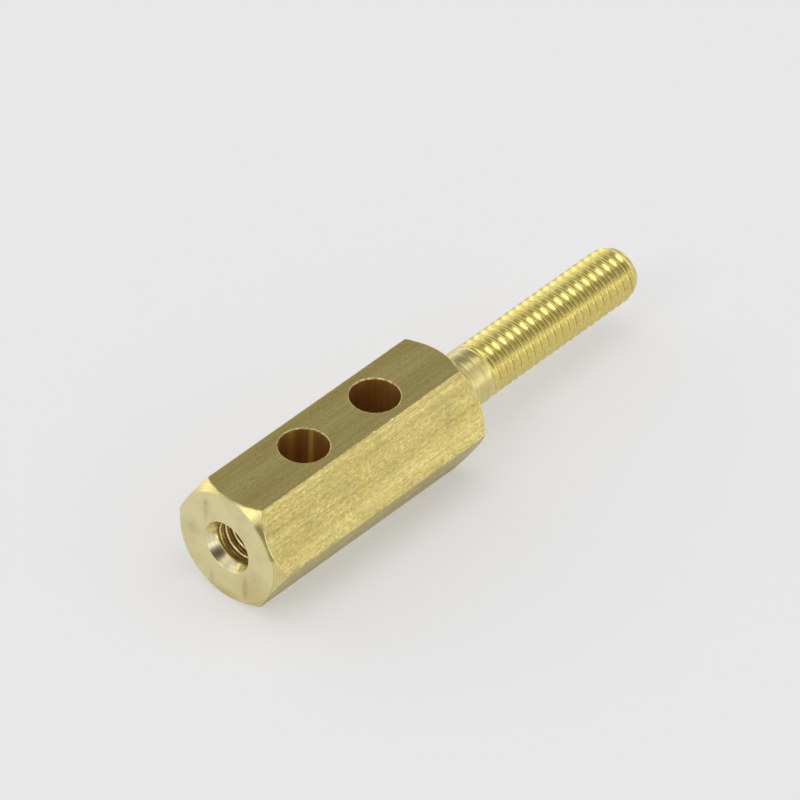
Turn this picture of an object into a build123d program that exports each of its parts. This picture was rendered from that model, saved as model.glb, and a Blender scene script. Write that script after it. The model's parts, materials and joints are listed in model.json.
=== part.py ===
from build123d import *
import math
import os

# Hex standoff, turned and drilled from one length of drawn hexagon brass bar.
# Millimetres. The part lies on one flat: X runs from the tapped end to the stud, Z is up, and the origin
# is on the turning axis, in the plane of the shoulder that the stud stands out of.

# Hexagon body
across_flats = 12.0
body_length = 29.5
bar_edge_radius = 0.15
end_face_inset = 0.1
end_chamfer_angle = 45.0

# Tapped end: the drill for an M5 thread, opened by a centre drill's cone
tap_drill_diameter = 4.2
tap_drill_depth = 6.5
drill_point_angle = 118.0
countersink_diameter = 5.5
countersink_angle = 60.0

# Cross holes, drilled from the top flat through to the bottom one
cross_hole_diameter = 4.9
cross_hole_setback = 10.5
cross_hole_spacing = 9.9
cross_hole_edge_break = 0.12

# Stud: turned to one diameter, that of the crests of the M6 thread cut from its tip to near the shoulder
stud_diameter = 5.85
stud_length = 26.3
shoulder_fillet = 0.2
tip_diameter = 4.65
tip_cone_angle = 50.0


def cone_depth(large_diameter, small_diameter, included_angle):
    """Length along the axis of a cone between two diameters."""
    return (large_diameter - small_diameter) / 2 / math.tan(math.radians(included_angle / 2))


def circles(builder, radius):
    """Round edges of that radius on the part as built so far."""
    round_edges = builder.edges().filter_by(GeomType.CIRCLE)
    return round_edges.filter_by(lambda edge: math.isclose(edge.radius, radius))


# Lengths and radii that follow from the sizes above
across_corners = across_flats / math.cos(math.radians(30))
end_face_radius = across_flats / 2 - end_face_inset
corner_radius = across_corners / 2
end_chamfer_length = (corner_radius - end_face_radius) * math.tan(math.radians(end_chamfer_angle))
tapped_end = -body_length
tap_drill_radius = tap_drill_diameter / 2
countersink_radius = countersink_diameter / 2
countersink_bottom = tapped_end + cone_depth(countersink_diameter, tap_drill_diameter, countersink_angle)
tap_drill_shoulder = tapped_end + tap_drill_depth
tap_drill_tip = tap_drill_shoulder + cone_depth(tap_drill_diameter, 0, drill_point_angle)
cross_hole_radius = cross_hole_diameter / 2
near_hole = tapped_end + cross_hole_setback
far_hole = near_hole + cross_hole_spacing
top_flat = across_flats / 2
stud_radius = stud_diameter / 2
tip_radius = tip_diameter / 2
tip_shoulder = stud_length - cone_depth(stud_diameter, tip_diameter, tip_cone_angle)

with BuildPart() as hex_standoff:
    # Drawn bar: a hexagon with flats above and below, its long edges slightly rounded
    with BuildSketch(Plane.YZ.offset(tapped_end)):
        RegularPolygon(radius=across_flats / 2, side_count=6, major_radius=False)
    extrude(amount=body_length)
    fillet(hex_standoff.edges().filter_by(Axis.X), radius=bar_edge_radius)

    # Cone turned on each end, which leaves a round face and cuts every flat in an arc
    with BuildSketch(Plane.XZ):
        with BuildLine():
            Polyline(
                (tapped_end, 0),
                (tapped_end, end_face_radius),
                (tapped_end + end_chamfer_length, corner_radius),
                (-end_chamfer_length, corner_radius),
                (0, end_face_radius),
                (0, 0),
                close=True,
            )
        make_face()
    revolve(axis=Axis.X, mode=Mode.INTERSECT)

    # Stud, with its tip turned to a short cone
    with BuildSketch(Plane.XZ):
        with BuildLine():
            Polyline(
                (0, 0),
                (0, stud_radius),
                (tip_shoulder, stud_radius),
                (stud_length, tip_radius),
                (stud_length, 0),
                close=True,
            )
        make_face()
    revolve(axis=Axis.X)

    # Rounded corner where the stud meets the shoulder
    shoulder_corner = circles(hex_standoff, stud_radius).sort_by(Axis.X)[0]
    fillet(shoulder_corner, radius=shoulder_fillet)

    # Tapped hole: countersink, drilled wall and the cone of the drill's point
    with BuildSketch(Plane.XZ):
        with BuildLine():
            Polyline(
                (tapped_end, 0),
                (tapped_end, countersink_radius),
                (countersink_bottom, tap_drill_radius),
                (tap_drill_shoulder, tap_drill_radius),
                (tap_drill_tip, 0),
                close=True,
            )
        make_face()
    revolve(axis=Axis.X, mode=Mode.SUBTRACT)

    # Cross holes, with the sharp edge broken at both ends
    with Locations((near_hole, 0, top_flat), (far_hole, 0, top_flat)):
        Hole(radius=cross_hole_radius, depth=across_flats)
    chamfer(circles(hex_standoff, cross_hole_radius), length=cross_hole_edge_break)

hex_standoff.part.label = "hex_standoff"
os.makedirs("parts", exist_ok=True)
export_step(hex_standoff.part, "parts/hex_standoff.step")
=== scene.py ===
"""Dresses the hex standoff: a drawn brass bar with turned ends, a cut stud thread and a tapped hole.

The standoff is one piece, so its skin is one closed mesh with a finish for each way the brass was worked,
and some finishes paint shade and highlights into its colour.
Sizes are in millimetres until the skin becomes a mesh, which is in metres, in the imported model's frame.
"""
import json
import logging
import math
from collections.abc import Callable, Mapping, Sequence
from dataclasses import dataclass, field, replace
from enum import Enum

import bmesh
import bpy
import numpy as np
from mathutils import Matrix, Vector


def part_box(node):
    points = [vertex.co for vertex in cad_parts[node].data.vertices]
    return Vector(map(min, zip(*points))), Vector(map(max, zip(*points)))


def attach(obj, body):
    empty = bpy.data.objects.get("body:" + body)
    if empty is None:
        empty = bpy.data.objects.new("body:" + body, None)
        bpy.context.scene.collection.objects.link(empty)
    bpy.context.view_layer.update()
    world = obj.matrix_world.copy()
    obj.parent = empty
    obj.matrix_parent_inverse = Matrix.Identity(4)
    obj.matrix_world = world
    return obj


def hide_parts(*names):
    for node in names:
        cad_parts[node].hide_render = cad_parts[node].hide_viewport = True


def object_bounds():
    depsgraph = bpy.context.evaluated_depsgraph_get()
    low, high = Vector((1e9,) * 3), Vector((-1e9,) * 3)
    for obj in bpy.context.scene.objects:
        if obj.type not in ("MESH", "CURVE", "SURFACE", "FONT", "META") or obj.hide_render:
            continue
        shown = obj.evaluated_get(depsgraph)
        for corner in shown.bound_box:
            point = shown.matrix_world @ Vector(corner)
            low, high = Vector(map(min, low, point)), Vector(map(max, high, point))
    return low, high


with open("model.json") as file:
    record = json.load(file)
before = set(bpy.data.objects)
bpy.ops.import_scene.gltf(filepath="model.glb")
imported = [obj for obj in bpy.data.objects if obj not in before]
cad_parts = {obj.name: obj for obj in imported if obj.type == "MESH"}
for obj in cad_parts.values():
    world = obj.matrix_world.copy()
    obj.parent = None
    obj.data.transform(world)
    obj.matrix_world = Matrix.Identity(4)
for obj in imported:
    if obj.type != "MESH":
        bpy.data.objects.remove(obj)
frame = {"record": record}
CAD_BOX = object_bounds()

NODE = "hex_standoff"
MM = 0.001
WELD_MM = 0.0003
PLANE_TOLERANCE_MM = 0.0005
# How deep the middle of a quarter round lies, as a share of its radius
CROWN_SHARE = 1 - math.sqrt(0.5)
# How many shifted grooves are averaged to round a thread's corners
ROUNDING_SAMPLES = 9

Colour = tuple[float, float, float]
Direction = tuple[float, float, float]
Tree = bpy.types.NodeTree
Socket = bpy.types.NodeSocket
Inputs = Mapping[str | int, object]

log = logging.getLogger(NODE)


class Surface(Enum):
    """The ways in which the brass was worked, some with painted shade and highlights, in the order of the
    skin's material slots.
    """

    DRAWN_FLAT = "drawn_flat"
    SMOOTH_FLAT = "smooth_flat"
    DRAWN_EDGE = "drawn_edge"
    # Rubbed brass, paler partly as a painted highlight along the edge
    WORN_EDGE = "worn_edge"
    BROKEN_EDGE = "broken_edge"
    FACED_END = "faced_end"
    TURNED_CHAMFER = "turned_chamfer"
    COUNTERSINK = "countersink"
    TAPPED_THREAD = "tapped_thread"
    # Painted shade: a darker, browner copy of the tapped thread, in its grooves
    TAPPED_GROOVE = "tapped_groove"
    # Painted shade: the inside of the holes is coloured dark brown
    DRILLED_BORE = "drilled_bore"
    TURNED_SHANK = "turned_shank"
    CUT_THREAD = "cut_thread"
    # Painted shade: a darker copy of the cut thread, in its grooves
    CUT_GROOVE = "cut_groove"

    @property
    def slot(self) -> int:
        """Number of this surface's material slot."""
        return list(Surface).index(self)


class RingAxis(Enum):
    """What a ring mark is measured by: shares of the distance along X, from the X axis, and up Z."""

    ALONG = (1.0, 0.0, 0.0)
    OUTWARD = (0.0, 1.0, 0.0)
    UPRIGHT = (0.0, 0.0, 1.0)


def mount(name: str) -> Mapping:
    """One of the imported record's mounts.

    Args:
        name: The mount's name.

    Returns:
        The mount as the record holds it.
    """
    return next(m for m in frame["record"]["mounts"] if m["name"] == name)


def mount_x(name: str) -> float:
    """Place of a mount along the bar, in millimetres."""
    return mount(name)["pos_m"][0] / MM


def mount_ends(name: str) -> tuple[float, float]:
    """Where a round mount starts and ends along the bar, in millimetres."""
    middle, length = mount_x(name), mount(name)["dims"]["length_mm"]
    return middle - length / 2, middle + length / 2


def ring(x: np.ndarray | float, radius: np.ndarray | float, turn: np.ndarray) -> np.ndarray:
    """Points round the X axis.

    Args:
        x: Place along the axis, one value or one for each point.
        radius: Distance from the axis, one value or one for each point.
        turn: Angle of each point about the axis, in radians from +Y.

    Returns:
        The points, one in each row of three numbers.
    """
    x, radius, turn = np.broadcast_arrays(np.asarray(x, float), np.asarray(radius, float), turn)
    return np.stack([x, radius * np.cos(turn), radius * np.sin(turn)], axis=-1)


def whole_turn(columns: int) -> np.ndarray:
    """Evenly spaced angles of one turn, with the last not repeating the first."""
    return np.arange(columns) / columns * math.tau


def ease(value: np.ndarray, start: float, end: float) -> np.ndarray:
    """Rises smoothly from 0 at start to 1 at end."""
    share = np.clip((value - start) / (end - start), 0.0, 1.0)
    return share * share * (3.0 - 2.0 * share)


def uneven(count: int, seed: int) -> np.ndarray:
    """A closed run of values between -1 and 1 that wanders from one to the next.

    Args:
        count: How many values to make.
        seed: Number that sets the run, so that each build gives the same one.

    Returns:
        The values.
    """
    drawn = np.random.default_rng(seed).uniform(-1.0, 1.0, count)
    return (drawn + np.roll(drawn, 1)) / 2


@dataclass
class Skin:
    """Patches of surface in millimetres, which are welded and closed into one mesh."""

    points: list[np.ndarray] = field(default_factory=list)
    quads: list[np.ndarray] = field(default_factory=list)
    slots: list[np.ndarray] = field(default_factory=list)
    patches: list[np.ndarray] = field(default_factory=list)
    point_count: int = 0

    def grid(self, rows: np.ndarray, surface: Surface, closed: bool = True,
             others: Sequence[tuple[Surface, np.ndarray]] = ()) -> None:
        """Adds one smooth patch.

        Args:
            rows: Points of the patch, as rows by columns by three.
            surface: The finish of the patch.
            closed: Whether the last column joins the first.
            others: Further finishes, each with whether a point lies on it. Quads wholly on it take it.
        """
        row_count, column_count = rows.shape[:2]
        index = self.point_count + np.arange(row_count * column_count).reshape(row_count, column_count)
        if closed:
            index = np.hstack([index, index[:, :1]])
        corners = [(slice(None, -1), slice(None, -1)), (slice(None, -1), slice(1, None)),
                   (slice(1, None), slice(1, None)), (slice(1, None), slice(None, -1))]
        quads = np.stack([index[c] for c in corners], axis=-1).reshape(-1, 4)
        slot = np.full(len(quads), surface.slot)
        for other, covers in others:
            slot[covers.reshape(-1)[quads - self.point_count].all(axis=-1)] = other.slot
        self.points.append(rows.reshape(-1, 3))
        self.quads.append(quads)
        self.slots.append(slot)
        self.patches.append(np.full(len(quads), len(self.patches) + 1))
        self.point_count += row_count * column_count

    def mesh(self, name: str, planes: Sequence[tuple[Surface, Direction, float]],
             crease_degrees: float) -> bpy.types.Mesh:
        """Welds the patches, fills the flat faces that they leave open, and marks the sharp edges.

        Args:
            name: Name of the new mesh.
            planes: For each flat face its finish, its normal and its distance from the origin along that.
            crease_degrees: Angle past which an edge within a patch is sharp.

        Returns:
            The closed mesh, in metres.
        """
        raw = bpy.data.meshes.new(name)
        raw.from_pydata((np.vstack(self.points) * MM).tolist(), [], np.vstack(self.quads).tolist())
        work = bmesh.new()
        work.from_mesh(raw)
        patch = work.faces.layers.int.new("patch")
        numbers = zip(work.faces, np.concatenate(self.slots), np.concatenate(self.patches), strict=True)
        for face, slot, number in numbers:
            face.material_index = int(slot)
            face[patch] = int(number)
        bmesh.ops.remove_doubles(work, verts=work.verts, dist=WELD_MM * MM)
        for number, (surface, normal, distance) in enumerate(planes, start=len(self.patches) + 1):
            self.fill(work, surface, Vector(normal), distance * MM, patch, number)
        bmesh.ops.recalc_face_normals(work, faces=work.faces)
        crease = math.radians(crease_degrees)
        for face in work.faces:
            face.smooth = True
        for edge in work.edges:
            first, second = edge.link_faces
            same = first[patch] == second[patch]
            edge.smooth = same and edge.calc_face_angle() < crease
        work.to_mesh(raw)
        work.free()
        return raw

    @staticmethod
    def fill(work: bmesh.types.BMesh, surface: Surface, normal: Vector, distance: float,
             patch: bmesh.types.BMLayerItem, number: int) -> None:
        """Fills the open edges that lie in one plane.

        Args:
            work: The mesh being made.
            surface: Finish of the new faces.
            normal: Normal of the plane.
            distance: Distance of the plane from the origin, in metres.
            patch: Layer that holds each face's patch number.
            number: Patch number of the new faces.
        """
        tolerance = PLANE_TOLERANCE_MM * MM
        on_plane = {v for v in work.verts if abs(v.co.dot(normal) - distance) < tolerance}
        edges = [e for e in work.edges if e.is_boundary and on_plane.issuperset(e.verts)]
        made = bmesh.ops.triangle_fill(work, use_beauty=True, edges=edges, normal=normal)["geom"]
        for face in (item for item in made if isinstance(item, bmesh.types.BMFace)):
            face.material_index = surface.slot
            face[patch] = number


@dataclass(frozen=True)
class Nick:
    """A small dent in one of the bar's long edges."""

    corner: int
    x: float
    width: float
    depth: float


@dataclass(frozen=True)
class HexBar:
    """The hexagon bar, with a cone turned on each end and its long edges slightly rounded."""

    across_flats: float
    tapped_end: float
    shoulder: float
    edge_radius: float = 0.15
    face_inset: float = 0.1
    chamfer_degrees: float = 45.0
    edge_break: float = 0.07
    edge_unevenness_share: float = 0.45
    edge_crown_share: float = 0.4
    arc_steps: int = 8
    flat_steps: int = 24
    length_steps: int = 130
    nicks: tuple[Nick, ...] = ()
    smooth_sides: tuple[int, ...] = (1, 4)

    sides = 6

    @property
    def face_radius(self) -> float:
        """Radius of the round face that the cone leaves on each end."""
        return self.across_flats / 2 - self.face_inset

    def corner_arc(self, corner: int) -> np.ndarray:
        """One rounded long edge, seen along the bar.

        Args:
            corner: Number of the edge, counted from +Y towards +Z.

        Returns:
            Its points, each as Y and Z.
        """
        half = math.pi / self.sides
        middle = corner * math.tau / self.sides
        turn = middle + np.linspace(-half, half, self.arc_steps + 1)
        reach = (self.across_flats / 2 - self.edge_radius) / math.cos(half)
        centre = reach * np.array([math.cos(middle), math.sin(middle)])
        return centre + self.edge_radius * np.stack([np.cos(turn), np.sin(turn)], axis=-1)

    def section(self) -> np.ndarray:
        """Outline of the bar, seen along it.

        Returns:
            The points, each as Y and Z.
        """
        points = []
        across = np.linspace(0, 1, self.flat_steps + 1)[1:-1, None]
        for corner in range(self.sides):
            arc = self.corner_arc(corner)
            following = self.corner_arc(corner + 1)
            points += [arc, arc[-1] + across * (following[0] - arc[-1])]
        return np.vstack(points)

    def end_depth(self, outline: np.ndarray) -> np.ndarray:
        """How far from the end the cone meets each point of the outline."""
        reach = np.linalg.norm(outline, axis=-1)
        return (reach - self.face_radius) * math.tan(math.radians(self.chamfer_degrees))

    def build_end(self, skin: Skin, end: float, inward: float) -> None:
        """Adds the cone of one end and the broken edge between it and the flats.

        Args:
            skin: The skin to add to.
            end: Place of the end along the bar.
            inward: 1 or -1, the way along X that leads into the bar.
        """
        outline = self.section()
        turn = np.arctan2(outline[:, 1], outline[:, 0])
        reach = np.linalg.norm(outline, axis=-1)
        meet = self.end_depth(outline)
        slope = math.radians(self.chamfer_degrees)
        wander = self.edge_unevenness_share * uneven(len(turn), int(self.sides + inward))
        wear = self.edge_break * (1.0 + wander)
        back, drop = wear * math.sin(slope), wear * math.cos(slope)
        face_row = ring(end, self.face_radius, turn)
        cone_row = ring(end + inward * (meet - back), reach - drop, turn)
        corner_row = ring(end + inward * meet, reach, turn)
        flat_row = ring(end + inward * (meet + self.edge_break), reach, turn)
        middle_row = (cone_row + flat_row) / 2
        crown_row = middle_row * (1 - self.edge_crown_share) + corner_row * self.edge_crown_share
        skin.grid(np.stack([face_row, cone_row]), Surface.TURNED_CHAMFER)
        edge_rows = np.stack([cone_row, crown_row, flat_row])
        on_smooth = np.isin(turn % math.tau // (math.tau / self.sides), self.smooth_sides)
        others = [(Surface.BROKEN_EDGE, np.broadcast_to(on_smooth, edge_rows.shape[:2]))]
        # Rubbed edge, with a painted highlight in its pale colour
        skin.grid(edge_rows, Surface.WORN_EDGE, others=others)

    def build_edge(self, skin: Skin, corner: int) -> None:
        """Adds one rounded long edge with its nicks.

        Args:
            skin: The skin to add to.
            corner: Number of the edge.
        """
        arc = self.corner_arc(corner)
        depth = self.end_depth(arc) + self.edge_break
        share = np.linspace(0, 1, self.length_steps + 1)[:, None]
        x = (self.tapped_end + depth) * (1 - share) + (self.shoulder - depth) * share
        inner = np.sin(np.linspace(0, math.pi, self.arc_steps + 1))
        dent = np.zeros_like(x)
        for nick in self.nicks:
            if nick.corner == corner:
                dent += nick.depth * np.exp(-((x - nick.x) / nick.width) ** 2) * inner
        middle = corner * math.tau / self.sides
        outward = np.array([math.cos(middle), math.sin(middle)])
        section = arc[None] - dent[..., None] * outward
        skin.grid(np.concatenate([x[..., None], section], axis=-1), Surface.DRAWN_EDGE, closed=False)

    def build(self, skin: Skin) -> None:
        """Adds both ends and all the long edges.

        Args:
            skin: The skin to add to.
        """
        self.build_end(skin, self.tapped_end, 1.0)
        self.build_end(skin, self.shoulder, -1.0)
        for corner in range(self.sides):
            self.build_edge(skin, corner)

    def planes(self) -> list[tuple[Surface, Direction, float]]:
        """The bar's flats and its two faced ends, for the skin to fill.

        Returns:
            For each face its finish, its normal and its distance from the origin along that.
        """
        found = [
            (Surface.FACED_END, (-1.0, 0.0, 0.0), -self.tapped_end),
            (Surface.FACED_END, (1.0, 0.0, 0.0), self.shoulder),
        ]
        for side in range(self.sides):
            turn = (side + 0.5) * math.tau / self.sides
            surface = Surface.SMOOTH_FLAT if side in self.smooth_sides else Surface.DRAWN_FLAT
            found.append((surface, (0.0, math.cos(turn), math.sin(turn)), self.across_flats / 2))
        return found


@dataclass(frozen=True)
class CrossHole:
    """A plain hole drilled down through the bar, with the sharp edge broken at both flats."""

    x: float
    radius: float
    wall_length: float
    across_flats: float
    rim_unevenness: float = 0.035
    columns: int = 96
    wall_rows: int = 24

    def build(self, skin: Skin) -> None:
        """Adds the hole's wall and its two rims.

        Args:
            skin: The skin to add to.
        """
        top = self.across_flats / 2
        wall_end = self.wall_length / 2
        rim = top - wall_end
        turn = whole_turn(self.columns)
        crown = rim * CROWN_SHARE

        def level(radius: np.ndarray | float, z: float) -> np.ndarray:
            """One ring of the hole at a height."""
            height = np.full_like(turn, z)
            return np.stack([self.x + radius * np.cos(turn), radius * np.sin(turn), height], axis=-1)

        for up in (1.0, -1.0):
            wander = self.rim_unevenness * uneven(self.columns, int(abs(self.x) + up))
            rows = [
                level(self.radius + rim + wander, up * top),
                level(self.radius + crown + wander / 2, up * (top - crown)),
                level(self.radius, up * wall_end),
            ]
            skin.grid(np.stack(rows), Surface.BROKEN_EDGE)
        heights = np.linspace(wall_end, -wall_end, self.wall_rows + 1)
        # Painted shade: the wall takes the dark brown bore finish
        skin.grid(np.stack([level(self.radius, z) for z in heights]), Surface.DRILLED_BORE)


@dataclass(frozen=True)
class Helix:
    """A right-hand thread between two planes across the X axis."""

    start: float
    end: float
    pitch: float
    rows_per_turn: int
    columns: int
    phase: float = 0.0

    def grid(self, radius_at: Callable[[np.ndarray, np.ndarray], np.ndarray]) -> tuple[np.ndarray, ...]:
        """Points in rows that follow the helix, held between the two planes.

        Args:
            radius_at: Gives the radius from X and the distance to the nearest crest, in pitches.

        Returns:
            The points as rows by columns by three, then X and the radius of each.
        """
        turn_share = np.linspace(0, 1, self.columns + 1)
        row_count = math.ceil((self.end - self.start) / self.pitch + 1) * self.rows_per_turn + 1
        step = np.arange(row_count) / self.rows_per_turn
        x = self.start + (step[:, None] - 1 + turn_share) * self.pitch
        from_crest = np.abs((step + self.phase + 0.5) % 1.0 - 0.5)[:, None]
        held = np.clip(x, self.start, self.end)
        radius = radius_at(held, np.broadcast_to(from_crest, held.shape))
        return ring(held, radius, turn_share * math.tau), held, radius


def groove_depth(from_crest: np.ndarray, crest_half: float, flank: float, rounding: float) -> np.ndarray:
    """Depth of a vee thread's groove, as a share of its full depth, with rounded crests and roots.

    Args:
        from_crest: Distance to the nearest crest, as a share of the pitch.
        crest_half: Half of the flat of the crest, as a share of the pitch.
        flank: Width of one flank, as a share of the pitch.
        rounding: Width over which corners are rounded, as a share of the pitch.

    Returns:
        The depth at each point, from 0 on the crest to 1 at the root.
    """
    total = np.zeros_like(from_crest)
    offsets = np.linspace(-rounding, rounding, ROUNDING_SAMPLES)
    for offset in offsets:
        folded = np.abs((from_crest + offset + 0.5) % 1.0 - 0.5)
        total += np.clip((folded - crest_half) / flank, 0.0, 1.0)
    return total / len(offsets)


@dataclass(frozen=True)
class TappedHole:
    """The blind hole in the end: a countersink, an M5 thread and the cone of the drill's point."""

    mouth: float
    wall_start: float
    wall_end: float
    wall_radius: float
    countersink_degrees: float = 60.0
    point_degrees: float = 118.0
    pitch: float = 0.8
    major_radius: float = 2.5
    crest_half_share: float = 0.16
    flank_share: float = 0.24
    rounding_share: float = 0.1
    # Share of the thread's depth past which a groove takes the painted shade finish
    groove_shade_share: float = 0.3
    lead_in: float = 0.55
    run_out: float = 1.4
    lip: float = 0.05
    throat_rounding: float = 0.1
    rows_per_turn: int = 16
    columns: int = 96

    def cone_radius(self, x: np.ndarray) -> np.ndarray:
        """Radius of the countersink's cone, which runs into the drilled wall with a rounded corner."""
        rise = (self.wall_start - x) * math.tan(math.radians(self.countersink_degrees / 2))
        return self.wall_radius + (rise + np.hypot(rise, self.throat_rounding)) / 2

    def thread_radius(self, x: np.ndarray, from_crest: np.ndarray) -> np.ndarray:
        """Radius of the hole at a place along the bar.

        Args:
            x: Place along the bar.
            from_crest: Distance to the nearest ridge, as a share of the pitch.

        Returns:
            The radius of the wall, thread or countersink there, whichever is largest.
        """
        depth = groove_depth(from_crest, self.crest_half_share, self.flank_share, self.rounding_share)
        fade = ease(x, self.wall_start, self.wall_start + self.lead_in)
        fade = fade * (1.0 - ease(x, self.wall_end - self.run_out, self.wall_end))
        thread = self.wall_radius + (self.major_radius - self.wall_radius) * depth * fade
        return np.maximum(thread, self.cone_radius(x))

    def build(self, skin: Skin) -> None:
        """Adds the countersink, the thread and the drill's cone.

        Args:
            skin: The skin to add to.
        """
        turn = whole_turn(self.columns)
        cone_start = self.mouth + self.lip
        helix = Helix(cone_start, self.wall_end, self.pitch, self.rows_per_turn, self.columns)
        rows, x, radius = helix.grid(self.thread_radius)
        on_cone = (radius <= self.cone_radius(x) + WELD_MM) & (x <= self.wall_start)
        thread_depth = self.major_radius - self.wall_radius
        # Painted shade: the deep part of each groove takes a darker, browner finish
        in_groove_shade = radius - self.cone_radius(x) > self.groove_shade_share * thread_depth
        others = [(Surface.COUNTERSINK, on_cone), (Surface.TAPPED_GROOVE, in_groove_shade)]
        skin.grid(rows, Surface.TAPPED_THREAD, closed=False, others=others)
        cone_edge = float(self.cone_radius(np.array(cone_start)))
        mouth_edge = float(self.cone_radius(np.array(self.mouth))) + self.lip
        crown = ring(self.mouth + self.lip / 3, (cone_edge * 2 + mouth_edge) / 3, turn)
        lip_rows = [ring(self.mouth, mouth_edge, turn), crown, ring(cone_start, cone_edge, turn)]
        skin.grid(np.stack(lip_rows), Surface.FACED_END)
        end_radius = float(self.cone_radius(np.array(self.wall_end)))
        point_length = self.wall_radius / math.tan(math.radians(self.point_degrees / 2))
        shares = (0.0, 0.5, 1.0)
        cone = [ring(self.wall_end + s * point_length, end_radius * (1 - s), turn) for s in shares]
        # Painted shade: the drill's cone takes the dark brown bore finish
        skin.grid(np.stack(cone), Surface.DRILLED_BORE)


@dataclass(frozen=True)
class ToolMark:
    """A fine groove that the turning tool left round the shank."""

    x: float
    width: float
    depth: float


@dataclass(frozen=True)
class Stud:
    """The stud: a turned shank, then an M6 thread that runs out before it and into the tip's cone."""

    radius: float
    fillet: float
    tip_shoulder: float
    length: float
    tip_end_radius: float = 2.325
    thread_start: float = 4.5
    pitch: float = 1.0
    thread_phase: float = 0.29
    thread_depth: float = 0.45
    tip_thread_depth: float = 0.62
    crest_half_share: float = 0.03
    flank_share: float = 0.45
    rounding_share: float = 0.12
    # Share of the thread's depth past which a groove takes the painted shade finish
    groove_shade_share: float = 0.84
    run_out: float = 1.5
    tip_fade: float = 0.12
    rows_per_turn: int = 16
    columns: int = 120
    fillet_steps: int = 5
    shank_steps: int = 90
    tool_marks: tuple[ToolMark, ...] = ()

    def tip_radius(self, x: np.ndarray) -> np.ndarray:
        """Radius of the turned blank, which narrows in a cone at the tip."""
        slope = (self.radius - self.tip_end_radius) / (self.length - self.tip_shoulder)
        return np.minimum(self.radius, self.radius - (x - self.tip_shoulder) * slope)

    def thread_radius(self, x: np.ndarray, from_crest: np.ndarray) -> np.ndarray:
        """Radius of the threaded stud.

        Args:
            x: Place along the stud.
            from_crest: Distance to the nearest crest, as a share of the pitch.

        Returns:
            The radius of the thread, or of the blank's cone where that is smaller.
        """
        depth = groove_depth(from_crest, self.crest_half_share, self.flank_share, self.rounding_share)
        fade = ease(x, self.thread_start, self.thread_start + self.run_out)
        fade = fade * (1.0 - ease(x, self.length - self.tip_fade, self.length))
        extra = self.tip_thread_depth - self.thread_depth
        deeper = extra * ease(x, self.tip_shoulder - self.pitch, self.length)
        return np.minimum(self.radius - (self.thread_depth + deeper) * depth * fade, self.tip_radius(x))

    def build_shank(self, skin: Skin) -> None:
        """Adds the corner at the shoulder and the plain shank, with its tool marks.

        Args:
            skin: The skin to add to.
        """
        turn = whole_turn(self.columns)
        lean = np.linspace(0, math.pi / 2, self.fillet_steps + 1)
        rows = [
            ring(self.fillet * (1 - math.cos(a)), self.radius + self.fillet * (1 - math.sin(a)), turn)
            for a in lean
        ]
        places = np.linspace(self.fillet, self.thread_start, self.shank_steps + 1)[1:]
        for x in places:
            cut = sum(mark.depth * math.exp(-((x - mark.x) / mark.width) ** 2) for mark in self.tool_marks)
            rows.append(ring(x, self.radius - cut, turn))
        skin.grid(np.stack(rows), Surface.TURNED_SHANK)

    def build(self, skin: Skin) -> None:
        """Adds the shank, the thread and the tip's cone.

        Args:
            skin: The skin to add to.
        """
        self.build_shank(skin)
        helix = Helix(
            self.thread_start, self.length, self.pitch, self.rows_per_turn, self.columns, self.thread_phase
        )
        rows, x, radius = helix.grid(self.thread_radius)
        on_tip = (radius >= self.tip_radius(x) - WELD_MM) & (x >= self.tip_shoulder)
        # Painted shade: the deep part of each groove takes a darker, browner finish
        in_groove_shade = (radius <= self.radius - self.groove_shade_share * self.thread_depth) & ~on_tip
        others = [(Surface.TURNED_CHAMFER, on_tip), (Surface.CUT_GROOVE, in_groove_shade)]
        skin.grid(rows, Surface.CUT_THREAD, closed=False, others=others)

    def planes(self) -> list[tuple[Surface, Direction, float]]:
        """The stud's end face, for the skin to fill."""
        return [(Surface.FACED_END, (1.0, 0.0, 0.0), self.length)]


def add_object(name: str, data: bpy.types.ID) -> bpy.types.Object:
    """Adds an object with that data to the scene.

    Args:
        name: Name of the object.
        data: Its mesh, light or camera.

    Returns:
        The new object.
    """
    made = bpy.data.objects.new(name, data)
    bpy.context.scene.collection.objects.link(made)
    return made


def node_of(tree: Tree, kind: str) -> bpy.types.Node:
    """The first node of a type in a tree."""
    return next(n for n in tree.nodes if n.type == kind)


def add_node(tree: Tree, kind: str, inputs: Inputs | None = None, **settings: object) -> bpy.types.Node:
    """Adds a node to a tree.

    Args:
        tree: The tree to add to.
        kind: The node's type.
        inputs: For each input, a value, or the output that feeds it.
        settings: The node's own settings.

    Returns:
        The new node.
    """
    made = tree.nodes.new(kind)
    for name, value in settings.items():
        setattr(made, name, value)
    for key, value in (inputs or {}).items():
        if isinstance(value, Socket):
            tree.links.new(value, made.inputs[key])
        else:
            made.inputs[key].default_value = value
    return made


def add_math(tree: Tree, operation: str, first: object, second: object = 0.0,
             clamp: bool = False) -> Socket:
    """Adds one step of arithmetic and gives its result."""
    made = add_node(tree, "ShaderNodeMath", {0: first, 1: second}, operation=operation, use_clamp=clamp)
    return made.outputs[0]


def add_part(tree: Tree, total: object, value: object, share: object) -> Socket:
    """Adds a share of a value to a total and gives the sum."""
    return add_math(tree, "ADD", total, add_math(tree, "MULTIPLY", value, share))


def add_vector(tree: Tree, operation: str, first: object, second: object = (0.0, 0.0, 0.0)) -> Socket:
    """Adds one step of vector arithmetic.

    Args:
        tree: The tree to add to.
        operation: The step.
        first: The vector to work on.
        second: The other vector, or the factor of SCALE.

    Returns:
        The result, which is a number for LENGTH and DOT_PRODUCT.
    """
    inputs = {0: first, "Scale" if operation == "SCALE" else 1: second}
    made = add_node(tree, "ShaderNodeVectorMath", inputs, operation=operation)
    return made.outputs["Value" if operation in ("LENGTH", "DOT_PRODUCT") else "Vector"]


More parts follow.
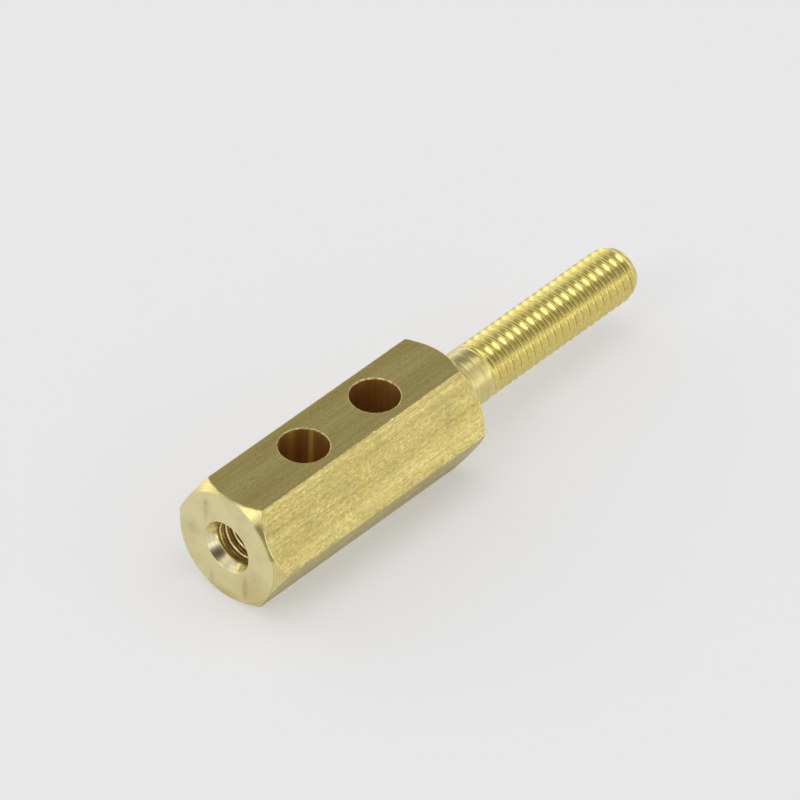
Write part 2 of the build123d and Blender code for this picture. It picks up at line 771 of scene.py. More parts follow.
def add_triple(tree: Tree, x: object, y: object, z: object) -> Socket:
    """Adds a vector of three numbers."""
    return add_node(tree, "ShaderNodeCombineXYZ", {0: x, 1: y, 2: z}).outputs[0]


def add_range(tree: Tree, value: object, low: object, high: object, to_low: object = 0.0,
              to_high: object = 1.0, smooth: bool = False) -> Socket:
    """Adds a change of range, held at both ends.

    Args:
        tree: The tree to add to.
        value: What is changed.
        low: The value that becomes to_low.
        high: The value that becomes to_high.
        to_low: The result at low.
        to_high: The result at high.
        smooth: Whether the change eases in and out.

    Returns:
        The result.
    """
    kind = "SMOOTHSTEP" if smooth else "LINEAR"
    inputs = {"Value": value, "From Min": low, "From Max": high, "To Min": to_low, "To Max": to_high}
    return add_node(tree, "ShaderNodeMapRange", inputs, interpolation_type=kind, clamp=True).outputs[0]


def add_blend(tree: Tree, share: object, first: object, second: object) -> Socket:
    """Adds a mix of two colours and gives the result."""
    return add_node(tree, "ShaderNodeMix", {0: share, 6: first, 7: second}, data_type="RGBA").outputs[2]


def opaque(colour: Colour) -> tuple[float, float, float, float]:
    """A colour with full alpha."""
    return (*colour, 1.0)


class EffectGroup:
    """A shader node group with named inputs and outputs, built once."""

    def __init__(self, name: str, inputs: Mapping[str, object], outputs: Sequence[str]) -> None:
        """Makes the group and its sockets.

        Args:
            name: Name of the group.
            inputs: For each input its first value: a number, or a colour of four numbers.
            outputs: Names of the outputs. One that ends in Colour is a colour.
        """
        self.tree = bpy.data.node_groups.new(name, "ShaderNodeTree")
        for label, value in inputs.items():
            kind = "NodeSocketColor" if isinstance(value, tuple) else "NodeSocketFloat"
            socket = self.tree.interface.new_socket(name=label, in_out="INPUT", socket_type=kind)
            socket.default_value = value
        for label in outputs:
            kind = "NodeSocketColor" if label.endswith("Colour") else "NodeSocketFloat"
            self.tree.interface.new_socket(name=label, in_out="OUTPUT", socket_type=kind)
        self.given = self.tree.nodes.new("NodeGroupInput").outputs
        self.result = self.tree.nodes.new("NodeGroupOutput").inputs

    def put_out(self, label: str, socket: Socket) -> None:
        """Links a result to one of the group's outputs."""
        self.tree.links.new(socket, self.result[label])

    def place_mm(self) -> Socket:
        """The shaded point in millimetres."""
        point = self.tree.nodes.new("ShaderNodeTexCoord").outputs["Object"]
        return add_vector(self.tree, "SCALE", point, 1 / MM)

    def triple(self, names: Sequence[str]) -> Socket:
        """Three of the group's inputs as one vector."""
        return add_triple(self.tree, *(self.given[name] for name in names))

    def stretched(self, along: object, across: object, shift: object = 0.0) -> Socket:
        """The shaded point with one scale along the bar and another across it.

        Args:
            along: Steps in a millimetre along X.
            across: Steps in a millimetre across X.
            shift: Distance that the pattern is moved by, so that two uses differ.

        Returns:
            The scaled point.
        """
        return self.scaled(add_triple(self.tree, along, across, across), shift)

    def scaled(self, scale: Socket, shift: object) -> Socket:
        """The shaded point with a scale for each axis, moved by a shift.

        Args:
            scale: Steps in a millimetre along each axis.
            shift: Distance that the pattern is moved by.

        Returns:
            The scaled point.
        """
        grown = add_vector(self.tree, "MULTIPLY", self.place_mm(), scale)
        return add_vector(self.tree, "ADD", grown, add_triple(self.tree, shift, shift, shift))

    def noise(self, vector: Socket, detail: float = 2.0, roughness: float = 0.55) -> Socket:
        """Noise at a point."""
        inputs = {"Vector": vector, "Scale": 1.0, "Detail": detail, "Roughness": roughness}
        return add_node(self.tree, "ShaderNodeTexNoise", inputs).outputs[0]

    def placed(self, tree: Tree, inputs: Inputs) -> Mapping[str, Socket]:
        """Places the group in a material with its own values.

        Args:
            tree: The material's tree.
            inputs: Values or feeds of the group's inputs.

        Returns:
            The placed group's outputs by name.
        """
        return add_node(tree, "ShaderNodeGroup", inputs, node_tree=self.tree).outputs


# Noises: detail and roughness. Steps: how many in a millimetre.
# Ranges: where in a noise a mark starts, and where it is full.
LINE_STEPS = (6.0, 2.2, 0.55)
LINE_RANGE = (0.3, 0.7)
FINEST_SHARE = 0.6
GRAIN_NOISE = (3.0, 0.7)
GRAIN_RANGE = (0.32, 0.68)
SPOT_STEPS = (2.6, 4.6)
SPOT_SHIFT = 31.0
SPOT_DETAIL = 1.0
PIT_RANGE = (0.67, 0.74)
FLECK_RANGE = (0.33, 0.26)
RING_NOISE = (3.0, 0.65)
RING_RANGE = (0.25, 0.75)
FILM_NOISE = (4.0, 0.6)
SPECK_STEPS = (1.0, 13.0, 3.6)
SPECK_NOISE = (3.0, 0.65)
SPECK_RANGE = (0.44, 0.74)
# Share of a patch's reach within which it is full
PATCH_CORE = 0.2

MARK_AXES = ("Across X", "Across Y", "Across Z")
RING_AXES = ("Along", "Outward", "Upright")
PLACE_AXES = ("X", "Y", "Z")
REACH_AXES = ("Reach X", "Reach Y", "Reach Z")


def long_marks_group() -> EffectGroup:
    """Long lines left by a drawing die or a drill, from fine to broad.

    Returns:
        The group.
    """
    inputs = {"Across X": 0.04, "Across Y": 1.0, "Across Z": 1.0, "Shift": 0.0}
    group = EffectGroup("long_marks", inputs, ["Fine", "Broad"])
    tree = group.tree
    point = group.scaled(group.triple(MARK_AXES), group.given["Shift"])
    finest, fine, broad = (group.noise(add_vector(tree, "SCALE", point, step)) for step in LINE_STEPS)
    both = add_part(tree, add_math(tree, "MULTIPLY", finest, FINEST_SHARE), fine, 1.0 - FINEST_SHARE)
    group.put_out("Fine", add_range(tree, both, *LINE_RANGE))
    group.put_out("Broad", add_range(tree, broad, *LINE_RANGE))
    return group


def grain_group() -> EffectGroup:
    """Short grain of the bar's skin, with dark pits and bright flecks.

    Returns:
        The group.
    """
    inputs = {"Along": 2.0, "Across": 4.0, "Shift": 0.0}
    group = EffectGroup("short_grain", inputs, ["Grain", "Pits", "Flecks"])
    tree, given = group.tree, group.given
    grain = group.noise(group.stretched(given["Along"], given["Across"], given["Shift"]), *GRAIN_NOISE)
    spot_shift = add_math(tree, "ADD", given["Shift"], SPOT_SHIFT)
    spots = group.noise(group.stretched(*SPOT_STEPS, spot_shift), SPOT_DETAIL)
    group.put_out("Grain", add_range(tree, grain, *GRAIN_RANGE))
    group.put_out("Pits", add_range(tree, spots, *PIT_RANGE))
    group.put_out("Flecks", add_range(tree, spots, *FLECK_RANGE))
    return group


def ring_marks_group() -> EffectGroup:
    """Fine rings left by a turning tool or a drill, round an axis.

    Returns:
        The group.
    """
    inputs = {"Along": 1.0, "Outward": 0.0, "Upright": 0.0, "Fineness": 6.0}
    group = EffectGroup("ring_marks", inputs, ["Ring"])
    tree, given = group.tree, group.given
    x, y, z = add_node(tree, "ShaderNodeSeparateXYZ", {0: group.place_mm()}).outputs
    squares = [add_math(tree, "POWER", side, 2.0) for side in (y, z)]
    outward = add_math(tree, "SQRT", add_math(tree, "ADD", *squares))
    place = add_math(tree, "MULTIPLY", x, given["Along"])
    for distance, label in ((outward, "Outward"), (z, "Upright")):
        place = add_part(tree, place, distance, given[label])
    detail, roughness = RING_NOISE
    inputs = {"W": place, "Scale": given["Fineness"], "Detail": detail, "Roughness": roughness}
    rings = add_node(tree, "ShaderNodeTexNoise", inputs, noise_dimensions="1D").outputs[0]
    group.put_out("Ring", add_range(tree, rings, *RING_RANGE))
    return group


def tarnish_group() -> EffectGroup:
    """Soft uneven film of handling and age.

    Returns:
        The group.
    """
    group = EffectGroup("tarnish", {"Scale": 0.35, "Low": 0.45, "High": 0.75, "Shift": 0.0}, ["Film"])
    given = group.given
    film = group.noise(group.stretched(given["Scale"], given["Scale"], given["Shift"]), *FILM_NOISE)
    group.put_out("Film", add_range(group.tree, film, given["Low"], given["High"], smooth=True))
    return group


def stain_and_light_group() -> EffectGroup:
    """A patch of specks, or of even colour, at one place on the part: used for stains and scuffs, and for
    painted shade, highlights and reflections.

    Returns:
        The group.
    """
    inputs = dict.fromkeys(PLACE_AXES, 0.0) | dict.fromkeys(REACH_AXES, 1.0) | {"Solid": 0.0}
    group = EffectGroup("smudge", inputs, ["Specks"])
    tree = group.tree
    point = group.place_mm()
    away = add_vector(tree, "SUBTRACT", point, group.triple(PLACE_AXES))
    distance = add_vector(tree, "LENGTH", add_vector(tree, "DIVIDE", away, group.triple(REACH_AXES)))
    inside = add_range(tree, distance, 1.0, PATCH_CORE, smooth=True)
    specks = group.noise(add_vector(tree, "MULTIPLY", point, SPECK_STEPS), *SPECK_NOISE)
    mask = add_math(tree, "MAXIMUM", add_range(tree, specks, *SPECK_RANGE), group.given["Solid"])
    group.put_out("Specks", add_math(tree, "MULTIPLY", inside, mask))
    return group


@dataclass(frozen=True)
class Effects:
    """The node groups that the finishes share."""

    marks: EffectGroup
    grain: EffectGroup
    rings: EffectGroup
    tarnish: EffectGroup
    smudge: EffectGroup

    @classmethod
    def build(cls) -> "Effects":
        """Builds each group once."""
        return cls(long_marks_group(), grain_group(), ring_marks_group(), tarnish_group(), stain_and_light_group())


@dataclass(frozen=True)
class StainAndLightPatch:
    """A patch of specks, or of even colour, at one place on the part, in millimetres: a stain or scuff, and
    also painted shade, highlight or reflection.
    """

    place: Direction
    reach: Direction
    strength: float
    colour: Colour = (0.19, 0.115, 0.025)
    solid: float = 0.0

    def specks(self, tree: Tree, effects: Effects) -> Socket:
        """Places the patch in a material.

        Args:
            tree: The material's tree.
            effects: The shared node groups.

        Returns:
            The specks' mask.
        """
        names = (*PLACE_AXES, *REACH_AXES)
        inputs = dict(zip(names, (*self.place, *self.reach), strict=True)) | {"Solid": self.solid}
        return add_math(tree, "MULTIPLY", effects.smudge.placed(tree, inputs)["Specks"], self.strength)


# Level of the marks on an even surface, between their lowest, 0, and their highest, 1
EVEN = 0.5


@dataclass(frozen=True)
class BrassFinish:
    """How one surface of the brass looks."""

    base: Colour = (0.74, 0.63, 0.26)
    deep: Colour = (0.50, 0.39, 0.12)
    pale: Colour = (0.83, 0.75, 0.42)
    film: Colour = (0.42, 0.36, 0.16)
    metallic: float = 1.0
    coat: float = 0.0
    coat_roughness: float = 0.2
    coat_ior: float = 1.8
    roughness: float = 0.2
    roughness_spread: float = 0.08
    mark_axes: Direction = (0.02, 1.0, 1.0)
    fine_marks: float = 0.0
    broad_marks: float = 0.0
    grain: float = 0.0
    spots: float = 0.0
    rings: float = 0.0
    ring_axis: RingAxis = RingAxis.ALONG
    ring_fineness: float = 6.0
    tarnish: float = 0.3
    tarnish_scale: float = 0.35
    tarnish_roughness: float = 0.2
    relief_mm: float = 0.003
    stains_and_light: tuple[StainAndLightPatch, ...] = ()
    shift: float = 0.0

    def material(self, name: str, effects: Effects) -> bpy.types.Material:
        """Makes the finish's material.

        Args:
            name: Name of the material.
            effects: The shared node groups.

        Returns:
            The new material.
        """
        made = bpy.data.materials.new(name)
        made.use_nodes = True
        tree = made.node_tree
        shader = node_of(tree, "BSDF_PRINCIPLED")
        shader.inputs["Metallic"].default_value = self.metallic
        shader.inputs["Coat Weight"].default_value = self.coat
        shader.inputs["Coat Roughness"].default_value = self.coat_roughness
        shader.inputs["Coat IOR"].default_value = self.coat_ior

        across = dict(zip(MARK_AXES, self.mark_axes, strict=True))
        lines = effects.marks.placed(tree, across | {"Shift": self.shift})
        grain = effects.grain.placed(tree, {"Shift": self.shift})
        turned = dict(zip(RING_AXES, self.ring_axis.value, strict=True))
        rings = effects.rings.placed(tree, turned | {"Fineness": self.ring_fineness})
        tarnish = effects.tarnish.placed(tree, {"Scale": self.tarnish_scale, "Shift": self.shift})

        relief = [
            (lines["Fine"], self.fine_marks), (grain["Grain"], self.grain), (rings["Ring"], self.rings)
        ]
        marks = self.sum_of(tree, [*relief, (lines["Broad"], self.broad_marks)])
        pits, flecks = (add_math(tree, "MULTIPLY", grain[kind], self.spots) for kind in ("Pits", "Flecks"))
        film = add_math(tree, "MULTIPLY", tarnish["Film"], self.tarnish)
        layers = [
            (add_range(tree, marks, EVEN, 0.0), self.deep),
            (add_range(tree, marks, EVEN, 1.0), self.pale),
            (pits, self.film),
            (flecks, self.pale),
            (film, self.film),
            *((smudge.specks(tree, effects), smudge.colour) for smudge in self.stains_and_light),
        ]
        colour: object = opaque(self.base)
        for mask, tone in layers:
            colour = add_blend(tree, mask, colour, opaque(tone))
        tree.links.new(colour, shader.inputs["Base Color"])

        low, high = self.roughness - self.roughness_spread, self.roughness + self.roughness_spread
        rough = add_range(tree, marks, 0.0, 1.0, high, low)
        added = add_math(tree, "MULTIPLY", film, self.tarnish_roughness)
        tree.links.new(add_math(tree, "ADD", rough, added, clamp=True), shader.inputs["Roughness"])

        height = add_math(tree, "SUBTRACT", self.sum_of(tree, relief), pits)
        shape = {"Height": height, "Strength": 1.0, "Distance": self.relief_mm * MM}
        tree.links.new(add_node(tree, "ShaderNodeBump", shape).outputs[0], shader.inputs["Normal"])
        return made

    @staticmethod
    def sum_of(tree: Tree, parts: Sequence[tuple[Socket, float]]) -> Socket:
        """Adds up marks about the level of an even surface.

        Args:
            tree: The material's tree.
            parts: Each mark, from 0 to 1, with its strength.

        Returns:
            The sum, which is at that level where every mark is.
        """
        total: object = EVEN
        for mark, strength in parts:
            if strength:
                total = add_part(tree, total, add_math(tree, "SUBTRACT", mark, EVEN), strength)
        return total if isinstance(total, Socket) else add_math(tree, "ADD", total, 0.0)


NICKS = (
    Nick(2, -13.0, 0.2, 0.07), Nick(2, -10.5, 0.16, 0.06), Nick(2, -19.1, 0.14, 0.04),
    Nick(2, -5.2, 0.12, 0.04), Nick(1, -8.4, 0.16, 0.05), Nick(3, -15.6, 0.18, 0.05),
)
TOOL_MARKS = (
    ToolMark(0.5, 0.06, 0.02), ToolMark(0.9, 0.05, 0.015), ToolMark(1.3, 0.07, 0.02),
    ToolMark(2.6, 0.18, 0.025), ToolMark(3.8, 0.18, 0.03),
)

FACE_X = mount_x("end_face")
FACE_STREAKS = tuple(
    StainAndLightPatch((FACE_X, y, z), (1.0, width, height), strength, solid=0.15)
    for y, z, width, height, strength in (
        (2.7, 3.2, 0.5, 2.1, 0.8), (4.2, -0.1, 1.5, 0.9, 0.5), (-2.4, -3.7, 0.5, 2.1, 0.85),
        (1.8, -4.7, 0.5, 1.3, 0.6), (-3.6, -1.4, 1.4, 1.3, 0.3), (-2.0, 4.6, 1.0, 0.6, 0.3),
    )
)
FACE_SMUDGES = (
    StainAndLightPatch((FACE_X, -3.6, -3.6), (1.0, 3.2, 3.4), 0.4, (0.58, 0.46, 0.16), 1.0),
    *FACE_STREAKS,
    StainAndLightPatch((FACE_X, 0.2, -6.0), (1.0, 3.2, 1.4), 0.75, (0.56, 0.41, 0.14), 0.7),
)
HOLES = ("cross_hole_near", "cross_hole_far")
NEAR_HOLE_X = mount_x(HOLES[0])
# Painted shade: a darker brown on the right side of each bore
BORE_PAINTED_SHADES = tuple(
    StainAndLightPatch((mount_x(hole) + 1.6, -1.86, 3.0), (1.6, 1.6, 9.0), 0.6, (0.22, 0.1, 0.02), 1.0)
    for hole in HOLES
)
# Painted highlights: bright golden streaks on the wall of the near hole stand for reflected light
BORE_PAINTED_HIGHLIGHTS = (
    StainAndLightPatch((NEAR_HOLE_X + 2.22, 1.04, 2.0), (0.32, 0.42, 9.0), 1.0, (1.0, 0.78, 0.16), 1.0),
    StainAndLightPatch((NEAR_HOLE_X + 0.8, 2.31, 3.0), (0.6, 0.6, 7.0), 0.6, (1.0, 0.68, 0.12), 1.0),
)
# Painted shade: dark brown patches along the upper right rim of the end face and its cone, where a rounded
# edge turns into shade
RIM_RADIUS = 5.95
RIM_DEPTH = 0.1
RIM_TURNS = np.radians(np.arange(129.0, 162.0, 4.0))
RIM_PAINTED_SHADE = tuple(
    StainAndLightPatch(tuple(place), (1.0, 0.55, 0.55), 0.8, (0.3, 0.23, 0.065), 0.85)
    for place in ring(FACE_X + RIM_DEPTH, RIM_RADIUS, RIM_TURNS).tolist()
)
# Painted reflection: a dark brown patch where the countersink mirrors something dark
COUNTERSINK_PAINTED_REFLECTION = (StainAndLightPatch((FACE_X + 0.5, 1.5, -1.95), (1.2, 0.7, 0.5), 0.8, (0.3, 0.2, 0.06), 0.8),)
FLAT_Z = CAD_BOX[1].z / MM
CORNER_Y = -FLAT_Z * math.tan(math.pi / HexBar.sides)
# Painted highlights: pale colour at the two largest nicks stands for their glints
NICK_PAINTED_GLINTS = tuple(
    StainAndLightPatch((nick.x, CORNER_Y, FLAT_Z), (0.26, 0.3, 0.3), 1.0, (1.0, 0.9, 0.58), 1.0) for nick in NICKS[:2]
)
SCUFFS = tuple(
    StainAndLightPatch((x, y, FLAT_Z), (length, 0.13, 0.5), 0.6, (0.2, 0.16, 0.06), 0.6)
    for x, y, length in (
        (-25.7, 0.3, 0.8), (-26.2, -0.2, 0.35), (-27.4, -0.1, 0.5),
        (-23.7, 0.1, 0.6), (-22.2, -1.3, 0.3), (-23.9, -1.8, 0.35),
    )
)
DRAWN = BrassFinish(
    base=(0.555, 0.452, 0.158), deep=(0.38, 0.3, 0.09), pale=(0.79, 0.67, 0.29),
    roughness=0.36, roughness_spread=0.06, fine_marks=0.45, broad_marks=0.22, grain=0.5, spots=0.8,
    relief_mm=0.006,
)
FINISHES: Mapping[Surface, BrassFinish] = {
    Surface.DRAWN_FLAT: DRAWN,
    Surface.SMOOTH_FLAT: replace(
        DRAWN, fine_marks=0.4, broad_marks=0.45, grain=0.4, spots=0.5, shift=11.0, stains_and_light=SCUFFS
    ),
    # The long edges, with painted highlights at the two largest nicks
    Surface.DRAWN_EDGE: replace(
        DRAWN, base=(0.66, 0.56, 0.23), roughness=0.32, grain=0.8, relief_mm=0.004, stains_and_light=NICK_PAINTED_GLINTS
    ),
    # Paler rubbed brass, and partly a painted highlight: the pale colour draws the bright line along the
    # ends' edges
    Surface.WORN_EDGE: BrassFinish(
        base=(0.88, 0.76, 0.36), pale=(0.94, 0.86, 0.5), metallic=0.85, roughness=0.42, grain=0.8,
        tarnish=0.1,
    ),
    Surface.BROKEN_EDGE: BrassFinish(
        base=(0.6, 0.51, 0.2), deep=(0.3, 0.24, 0.07), pale=(0.8, 0.72, 0.4), roughness=0.36, grain=1.0,
        relief_mm=0.004,
    ),
    # Stains on the end face, and painted shade along its upper right rim
    Surface.FACED_END: BrassFinish(
        base=(0.80, 0.72, 0.39), roughness=0.33, roughness_spread=0.03, rings=0.06,
        ring_axis=RingAxis.OUTWARD, spots=0.1, tarnish=0.25, relief_mm=0.001,
        stains_and_light=FACE_SMUDGES + RIM_PAINTED_SHADE,
    ),
    # Turned marks, and painted shade along the upper right rim
    Surface.TURNED_CHAMFER: BrassFinish(
        roughness=0.32, rings=0.3, ring_axis=RingAxis.OUTWARD, relief_mm=0.0015, stains_and_light=RIM_PAINTED_SHADE
    ),
    # Turned marks, with a painted reflection: a dark brown patch
    Surface.COUNTERSINK: BrassFinish(
        base=(0.84, 0.77, 0.48), pale=(0.9, 0.84, 0.6), roughness=0.22, rings=0.6, ring_fineness=9.0,
        relief_mm=0.004, tarnish=0.1, stains_and_light=COUNTERSINK_PAINTED_REFLECTION,
    ),
    Surface.TAPPED_THREAD: BrassFinish(
        base=(0.84, 0.71, 0.38), pale=(0.9, 0.8, 0.5), roughness=0.3, rings=0.2, relief_mm=0.001,
        tarnish=0.05,
    ),
    # Painted shade: a darker, browner copy of the tapped thread's finish, for its grooves
    Surface.TAPPED_GROOVE: BrassFinish(
        base=(0.52, 0.34, 0.11), deep=(0.4, 0.24, 0.06), film=(0.3, 0.18, 0.05), roughness=0.34, rings=0.2,
        relief_mm=0.001, tarnish=0.2,
    ),
    # Drill marks, and painted shade: the inside of the holes is coloured dark brown and made less metallic
    Surface.DRILLED_BORE: BrassFinish(
        base=(0.52, 0.26, 0.06), deep=(0.36, 0.15, 0.03), pale=(0.72, 0.46, 0.14), film=(0.3, 0.13, 0.03),
        metallic=0.6, roughness=0.34, mark_axes=(1.0, 1.0, 0.02), fine_marks=0.3, broad_marks=0.5,
        rings=0.25, ring_axis=RingAxis.UPRIGHT, ring_fineness=5.0, relief_mm=0.004,
        stains_and_light=BORE_PAINTED_SHADES + BORE_PAINTED_HIGHLIGHTS,
    ),
    Surface.TURNED_SHANK: BrassFinish(roughness=0.27, rings=0.6, ring_fineness=5.6, relief_mm=0.005),
    Surface.CUT_THREAD: BrassFinish(
        base=(0.75, 0.61, 0.15), deep=(0.54, 0.42, 0.08), pale=(0.85, 0.76, 0.34), roughness=0.22,
        grain=0.5, rings=0.3, ring_fineness=8.0, tarnish=0.1, coat=0.5,
    ),
    # Painted shade: a darker, more orange copy of the cut thread's finish, for its grooves
    Surface.CUT_GROOVE: BrassFinish(
        base=(0.56, 0.44, 0.09), deep=(0.4, 0.3, 0.05), pale=(0.68, 0.57, 0.18), roughness=0.28, grain=0.8,
        relief_mm=0.002, tarnish=0.2,
    ),
}


@dataclass(frozen=True)
class Standoff:
    """The whole part: the bar with its cross holes, its tapped end and its stud."""

    bar: HexBar
    cross_holes: tuple[CrossHole, ...]
    tapped_hole: TappedHole
    stud: Stud
    crease_degrees: float = 35.0

    @classmethod
    def from_frame(cls) -> "Standoff":
        """Takes the part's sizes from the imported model's box and mounts.

        Returns:
            The part, not built yet.
        """
        low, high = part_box(NODE)
        across_flats = (high.z - low.z) / MM
        bar = HexBar(across_flats, mount_x("end_face"), mount_x("seat"), nicks=NICKS)
        holes = []
        for name in HOLES:
            bore = mount(name)["dims"]
            holes.append(CrossHole(mount_x(name), bore["r_mm"], bore["length_mm"], across_flats))
        tap_radius, stud_radius = (mount(name)["dims"]["r_mm"] for name in ("tapped_hole", "stud"))
        tapped = TappedHole(bar.tapped_end, *mount_ends("tapped_hole"), tap_radius)
        stud = Stud(stud_radius, *mount_ends("stud"), high.x / MM, tool_marks=TOOL_MARKS)
        return cls(bar, tuple(holes), tapped, stud)

    def build(self) -> bpy.types.Object:
        """Builds the skin as one closed mesh.

        Returns:
            The new object, which stands for the CAD node.
        """
        skin = Skin()
        for part in (self.bar, *self.cross_holes, self.tapped_hole, self.stud):
            part.build(skin)
        mesh = skin.mesh("hex_standoff_skin", self.bar.planes() + self.stud.planes(), self.crease_degrees)
        made = add_object("hex_standoff_skin", mesh)
        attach(made, "root")
        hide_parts(NODE)
        return made

    def dress(self, skin: bpy.types.Object) -> None:
        """Gives each surface of the skin its finish.

        Args:
            skin: The object that build made.
        """
        effects = Effects.build()
        for surface in Surface:
            skin.data.materials.append(FINISHES[surface].material(f"brass_{surface.value}", effects))


def compass(azimuth: float, elevation: float) -> Direction:
    """Direction from the part, by its turn from +X towards +Y and its height, both in degrees."""
    a, e = math.radians(azimuth), math.radians(elevation)
    return (math.cos(a) * math.cos(e), math.sin(a) * math.cos(e), math.sin(e))


@dataclass(frozen=True)
class SkyPatch:
    """A soft round area of the studio's surroundings that is lighter or darker than the rest."""

    azimuth: float
    elevation: float
    inner: float
    outer: float
    level: float

    def share(self, tree: Tree, point: Socket) -> Socket:
        """How far a direction lies in the patch, from 0 to 1.

        Args:
            tree: The world's tree.
            point: The direction.

        Returns:
            The share.
        """
        along = add_vector(tree, "DOT_PRODUCT", point, compass(self.azimuth, self.elevation))
        edge, core = (math.cos(math.radians(angle)) for angle in (self.outer, self.inner))
        return add_range(tree, along, edge, core, smooth=True)


@dataclass(frozen=True)
class SoftLamp:
    """A rectangular softbox that faces the part."""

    name: str
    azimuth: float
    elevation: float
    distance: float
    width: float
    height: float
    brightness: float

    def build(self) -> None:
        """Adds the lamp. Its brightness is what a mirror would show of it, where 1 is white."""
        light = bpy.data.lights.new(self.name, "AREA")
        light.shape = "RECTANGLE"
        light.size, light.size_y = self.width, self.height
        light.energy = self.brightness * math.pi * self.width * self.height
        lamp = add_object(self.name, light)
        away = Vector(compass(self.azimuth, self.elevation))
        lamp.location = away * self.distance
        lamp.rotation_euler = away.to_track_quat("Z", "Y").to_euler()


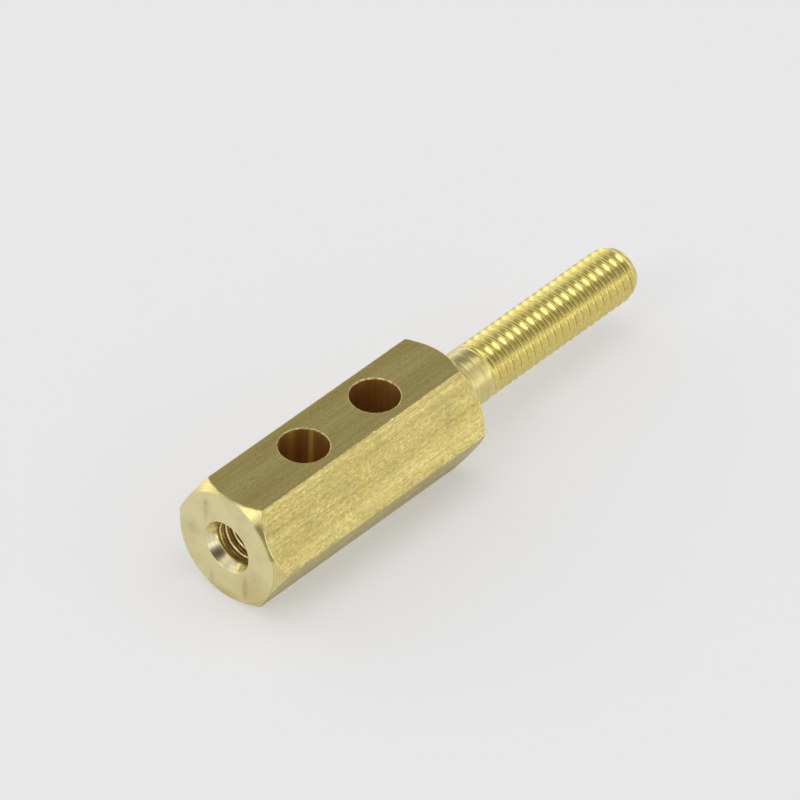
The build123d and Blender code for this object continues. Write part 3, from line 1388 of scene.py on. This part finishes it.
@dataclass(frozen=True)
class Studio:
    """A pale floor in a white sweep, lit by soft lamps, seen from the photograph's angle."""

    floor_colour: Colour = (0.92, 0.92, 0.93)
    floor_roughness: float = 0.6
    floor_specular: float = 0.2
    glow_colour: Colour = (0.91, 0.91, 0.91)
    glow_share: float = 0.36
    reflected_glow_share: float = 0.3
    floor_side: float = 3.0
    horizon_level: float = 1.25
    upper_level: float = 0.6
    camera_level: float = 0.835
    sweep_low: float = 0.14
    sweep_high: float = 0.42
    dark_patches: tuple[SkyPatch, ...] = (
        SkyPatch(-128.0, 44.0, 14.0, 34.0, 0.65),
        SkyPatch(-146.0, 12.0, 6.0, 17.0, 0.4),
        SkyPatch(40.0, 46.0, 8.0, 24.0, 0.5),
        SkyPatch(148.0, 42.0, 6.0, 20.0, 0.45),
        SkyPatch(2.0, 54.0, 8.0, 22.0, 0.22),
    )
    light_patches: tuple[SkyPatch, ...] = (
        SkyPatch(0.0, 86.0, 10.0, 34.0, 0.7), SkyPatch(-9.0, 55.0, 3.0, 12.0, 1.0),
        SkyPatch(100.0, 26.0, 15.0, 45.0, 0.4), SkyPatch(-50.0, 22.0, 10.0, 30.0, 0.32),
    )
    lamps: tuple[SoftLamp, ...] = (SoftLamp("key_softbox", 181.0, 39.0, 0.9, 0.35, 0.3, 2.6),)
    view_azimuth: float = -49.256
    view_elevation: float = 40.734
    view_roll: float = 1.887
    view_distance: float = 0.9124
    view_target: Direction = (-0.00268, 0.00239, 0.0)
    lens: float = 432.7
    sensor: float = 36.0
    clip_start: float = 0.01
    clip_end: float = 10.0

    def build_floor(self) -> None:
        """Adds the floor under the part."""
        mesh = bpy.data.meshes.new("studio_floor")
        half, z = self.floor_side / 2, CAD_BOX[0].z
        corners = [(-half, -half, z), (half, -half, z), (half, half, z), (-half, half, z)]
        mesh.from_pydata(corners, [], [(0, 1, 2, 3)])
        floor = add_object("studio_floor", mesh)
        made = bpy.data.materials.new("pale_floor")
        made.use_nodes = True
        mesh.materials.append(made)
        tree = made.node_tree
        shader = node_of(tree, "BSDF_PRINCIPLED")
        shader.inputs["Base Color"].default_value = opaque(self.floor_colour)
        shader.inputs["Roughness"].default_value = self.floor_roughness
        shader.inputs["Specular IOR Level"].default_value = self.floor_specular
        path = add_node(tree, "ShaderNodeLightPath").outputs
        share = add_math(tree, "MULTIPLY", path["Is Camera Ray"], self.glow_share)
        reflected = add_math(tree, "MULTIPLY", path["Is Glossy Ray"], self.reflected_glow_share)
        share = add_math(tree, "MAXIMUM", share, reflected)
        glow = add_node(tree, "ShaderNodeEmission", {"Color": opaque(self.glow_colour), "Strength": 1.0})
        mixed = add_node(tree, "ShaderNodeMixShader", {0: share, 1: shader.outputs[0], 2: glow.outputs[0]})
        tree.links.new(mixed.outputs[0], node_of(tree, "OUTPUT_MATERIAL").inputs["Surface"])

    def build_world(self) -> None:
        """Adds the white sweep round the floor, darker above, with its light and dark areas."""
        world = bpy.data.worlds.new("studio")
        bpy.context.scene.world = world
        world.use_nodes = True
        tree = world.node_tree
        background = node_of(tree, "BACKGROUND")
        point = add_node(tree, "ShaderNodeTexCoord").outputs["Generated"]
        height = add_node(tree, "ShaderNodeSeparateXYZ", {0: point}).outputs[2]
        level = add_range(
            tree, height, self.sweep_low, self.sweep_high, self.horizon_level, self.upper_level, smooth=True
        )
        for patch in self.light_patches:
            level = add_part(tree, level, patch.share(tree, point), patch.level)
        for patch in self.dark_patches:
            taken = add_math(tree, "MULTIPLY", patch.share(tree, point), patch.level)
            level = add_math(tree, "MULTIPLY", level, add_math(tree, "SUBTRACT", 1.0, taken))
        seen = add_node(tree, "ShaderNodeLightPath").outputs["Is Camera Ray"]
        levels = {0: seen, 2: level, 3: self.camera_level}
        shown = add_node(tree, "ShaderNodeMix", levels, data_type="FLOAT").outputs[0]
        tree.links.new(shown, background.inputs["Strength"])
        background.inputs["Color"].default_value = opaque((1.0, 1.0, 1.0))

    def build_camera(self) -> None:
        """Adds the camera at the photograph's angle."""
        data = bpy.data.cameras.new("photo_camera")
        data.lens, data.sensor_width = self.lens, self.sensor
        data.clip_start, data.clip_end = self.clip_start, self.clip_end
        camera = add_object("photo_camera", data)
        bpy.context.scene.camera = camera
        azimuth, elevation = math.radians(self.view_azimuth), math.radians(self.view_elevation)
        right = Vector((math.cos(azimuth), math.sin(azimuth), 0.0))
        up = Vector((-math.sin(azimuth) * math.sin(elevation), math.cos(azimuth) * math.sin(elevation),
                     math.cos(elevation)))
        back = right.cross(up)
        axes = Matrix((right, up, back)).transposed().to_4x4()
        place = Matrix.Translation(Vector(self.view_target) + back * self.view_distance)
        camera.matrix_world = place @ axes @ Matrix.Rotation(math.radians(self.view_roll), 4, "Z")

    def build(self) -> None:
        """Adds the floor, the surroundings, the lamps and the camera."""
        bpy.context.scene.view_settings.view_transform = "Standard"
        self.build_floor()
        self.build_world()
        for lamp in self.lamps:
            lamp.build()
        self.build_camera()


def main() -> None:
    """Builds the standoff, dresses it and sets it in the studio."""
    logging.basicConfig(level=logging.INFO)
    standoff = Standoff.from_frame()
    skin = standoff.build()
    standoff.dress(skin)
    data = skin.data
    data.calc_loop_triangles()
    log.info("%s: %d triangles, %d finishes", skin.name, len(data.loop_triangles), len(data.materials))
    Studio().build()
    log.info("studio: floor, surroundings, lamps and camera")


if __name__ == "__main__":
    main()
